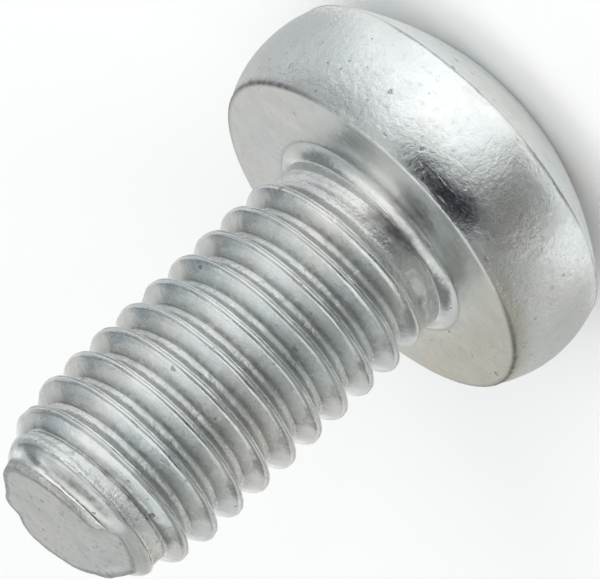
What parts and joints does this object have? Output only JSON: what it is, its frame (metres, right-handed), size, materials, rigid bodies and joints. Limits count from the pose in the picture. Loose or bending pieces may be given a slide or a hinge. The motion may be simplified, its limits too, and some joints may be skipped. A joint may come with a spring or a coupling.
{
  "type": "thread-forming screw",
  "caption": "Pan-head thread-forming screw in bright zinc plate: three-lobed shank, rolled right-hand thread tapering at the tip, and a six-lobe driver socket.",
  "frame": {"origin": "centre of the flat bearing face under the head, on the screw's axis", "axes": "+Z along the axis from the head to the tip, so the screw stands on its head; the side seen in the picture faces -Y"},
  "size_m": [0.0092, 0.0092, 0.0134],
  "materials": {
    "zinc_plated_steel": "bright zinc plate over rolled steel, lightly scuffed"
  },
  "bodies": {
    "root": {"screw": "zinc_plated_steel"}
  },
  "joints": []
}
